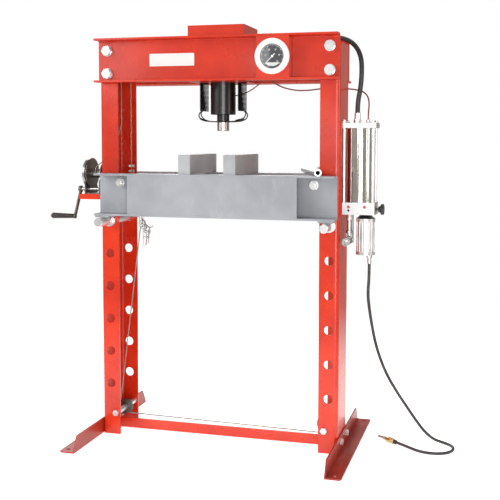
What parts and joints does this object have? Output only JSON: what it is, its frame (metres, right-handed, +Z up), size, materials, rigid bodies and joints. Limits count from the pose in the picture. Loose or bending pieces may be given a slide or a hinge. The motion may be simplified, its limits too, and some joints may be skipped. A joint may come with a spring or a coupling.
{
  "type": "hydraulic shop press",
  "caption": "H-frame hydraulic shop press with pinned bed, cable-lift hand winch, hanging cylinder with return springs, pressure gauge, and side-mounted air and lever pump",
  "frame": {"origin": "on the floor at the centre of the four anchor holes in the feet, straight below the ram", "axes": "+X to the right as the user faces the press (pump side), +Y to the back, +Z up"},
  "size_m": [1.7121, 0.75, 1.728],
  "materials": {
    "red_paint": "gloss enamel",
    "grey_paint": "satin paint",
    "zinc_plate": "bright zinc plate",
    "black_steel": "semi-gloss black",
    "bright_steel": "turned",
    "block_grey": "satin paint",
    "pulley_iron": "machined",
    "dark_zinc": "dull zinc",
    "grip_plastic": "moulded",
    "knob_plastic": "moulded",
    "aluminium_block": "machined",
    "polished_tube": "polished",
    "white_case": "gloss",
    "dial_dark": "printed",
    "needle_white": "matt",
    "white_plate": "gloss",
    "hose_rubber": "braided cover",
    "line_brown": "smooth",
    "brass_fitting": "turned"
  },
  "bodies": {
    "frame": {"air_hose": "hose_rubber", "air_motor": "aluminium_block", "crown_front": "red_paint", "crown_rear": "red_paint", "cylinder_barrel": "black_steel", "cylinder_gland": "black_steel", "fixed_cables": "bright_steel", "foot_left": "red_paint", "foot_right": "red_paint", "frame_bolts": "zinc_plate", "gauge_bracket": "red_paint", "gauge_case": "white_case", "gauge_dial": "dial_dark", "hose_coupling": "brass_fitting", "hydraulic_hose": "hose_rubber", "lift_cables": "bright_steel", "motor_flange": "black_steel", "name_plate": "white_plate", "post_left": "red_paint", "post_right": "red_paint", "pull_cable": "bright_steel", "pulley_axles": "zinc_plate", "pump_block": "aluminium_block", "pump_fittings": "zinc_plate", "pump_tank": "polished_tube", "pump_tie_rods": "zinc_plate", "pump_top_plate": "aluminium_block", "ram_housing": "red_paint", "return_line": "line_brown", "return_springs": "black_steel", "tie_bar": "red_paint", "welded_brackets": "red_paint", "winch_frame": "dark_zinc"},
    "ram": {"ram": "black_steel", "ram_nose": "bright_steel", "return_yoke": "black_steel"},
    "bed": {"bed_front": "grey_paint", "bed_rear": "grey_paint", "bed_cover_plate": "grey_paint", "bed_guides": "zinc_plate", "saddle_pads": "grey_paint", "cable_anchor": "zinc_plate"},
    "winch_drum": {"winch_drum": "dark_zinc", "winch_gear": "dark_zinc"},
    "winch_crank": {"winch_pinion": "bright_steel", "crank_arm": "dark_zinc"},
    "crank_grip": {"crank_grip": "grip_plastic"},
    "top_pulley_left": {"top_pulley_left": "pulley_iron"},
    "top_pulley_right": {"top_pulley_right": "pulley_iron"},
    "bottom_pulley_left": {"bottom_pulley_left": "pulley_iron"},
    "bottom_pulley_right": {"bottom_pulley_right": "pulley_iron"},
    "bed_pin_left": {"bed_pin_left": "zinc_plate"},
    "bed_pin_right": {"bed_pin_right": "zinc_plate"},
    "press_block_left": {"press_block_left": "block_grey"},
    "press_block_right": {"press_block_right": "block_grey"},
    "pump_handle": {"pump_handle": "bright_steel"},
    "pump_lever": {"pump_lever": "bright_steel"},
    "pump_plunger": {"pump_plunger": "bright_steel"},
    "release_knob": {"release_knob": "knob_plastic"},
    "gauge_needle": {"gauge_needle": "needle_white"}
  },
  "joints": [
    {"name": "ram_extend", "type": "slide", "parent": "frame", "child": "ram", "axis": [0, 0, 1], "range_m": [-0.13, 0], "deforming": ["return_springs"]},
    {"name": "bed_lift", "type": "slide", "parent": "frame", "child": "bed", "axis": [0, 0, 1], "range_m": [0, 0.13], "deforming": ["lift_cables", "pull_cable"]},
    {"name": "top_pulley_left_spin", "type": "hinge", "parent": "frame", "child": "top_pulley_left", "pos_m": [-0.4375, 0, 1.56], "axis": [0, 1, 0], "range_deg": [-337.7, 0]},
    {"name": "bottom_pulley_left_spin", "type": "hinge", "parent": "frame", "child": "bottom_pulley_left", "pos_m": [-0.451, 0, 0.093], "axis": [0, 1, 0], "range_deg": [0, 281.4]},
    {"name": "top_pulley_right_spin", "type": "hinge", "parent": "frame", "child": "top_pulley_right", "pos_m": [0.4565, 0, 1.56], "axis": [0, 1, 0], "range_deg": [0, 183.1]},
    {"name": "bottom_pulley_right_spin", "type": "hinge", "parent": "frame", "child": "bottom_pulley_right", "pos_m": [0.456, 0, 0.093], "axis": [0, 1, 0], "range_deg": [0, 180.9]},
    {"name": "winch_drum_spin", "type": "hinge", "parent": "frame", "child": "winch_drum", "pos_m": [-0.6, 0, 1.117], "axis": [1, 0, 0], "range_deg": [0, 330.3]},
    {"name": "winch_crank_spin", "type": "hinge", "parent": "frame", "child": "winch_crank", "pos_m": [-0.6, -0.03821, 1.049], "axis": [1, 0, 0], "range_deg": [-1651.6, 0]},
    {"name": "crank_grip_spin", "type": "hinge", "parent": "winch_crank", "child": "crank_grip", "pos_m": [-0.69, -0.09821, 0.936], "axis": [1, 0, 0], "continuous": true},
    {"name": "bed_pin_left_pull", "type": "slide", "parent": "frame", "child": "bed_pin_left", "axis": [0, -1, 0], "range_m": [0, 0.42]},
    {"name": "bed_pin_right_pull", "type": "slide", "parent": "frame", "child": "bed_pin_right", "axis": [0, -1, 0], "range_m": [0, 0.42]},
    {"name": "block_left_slide", "type": "slide", "parent": "bed", "child": "press_block_left", "axis": [1, 0, 0], "range_m": [-0.2, 0.05]},
    {"name": "block_right_slide", "type": "slide", "parent": "bed", "child": "press_block_right", "axis": [1, 0, 0], "range_m": [-0.02, 0.15]},
    {"name": "pump_handle_lift", "type": "slide", "parent": "bed", "child": "pump_handle", "axis": [0, 0, 1], "range_m": [0, 0.12]},
    {"name": "pump_lever_swing", "type": "hinge", "parent": "frame", "child": "pump_lever", "pos_m": [0.545, -0.014, 0.864], "axis": [1, 0, 0], "range_deg": [-18, 18]},
    {"name": "pump_plunger_slide", "type": "slide", "parent": "frame", "child": "pump_plunger", "axis": [0, 0, 1], "range_m": [-0.0116, 0.0116]},
    {"name": "release_knob_turn", "type": "hinge", "parent": "frame", "child": "release_knob", "pos_m": [0.65, -0.04, 0.989], "axis": [1, 0, 0], "range_deg": [0, 360]},
    {"name": "gauge_needle_sweep", "type": "hinge", "parent": "frame", "child": "gauge_needle", "pos_m": [0.2525, -0.161, 1.591], "axis": [0, 1, 0], "range_deg": [0, 270]}
  ],
  "couplings": [
    {"joint": "top_pulley_left_spin", "follows": "bed_lift", "rad_per_m": -44.444},
    {"joint": "bottom_pulley_left_spin", "follows": "bed_lift", "rad_per_m": 37.037},
    {"joint": "top_pulley_right_spin", "follows": "bed_lift", "rad_per_m": 24.096},
    {"joint": "bottom_pulley_right_spin", "follows": "bed_lift", "rad_per_m": 23.81},
    {"joint": "winch_drum_spin", "follows": "bed_lift", "rad_per_m": 43.478},
    {"joint": "winch_crank_spin", "follows": "bed_lift", "rad_per_m": -217.39},
    {"joint": "pump_plunger_slide", "follows": "pump_lever_swing", "m_per_rad": -0.036}
  ]
}
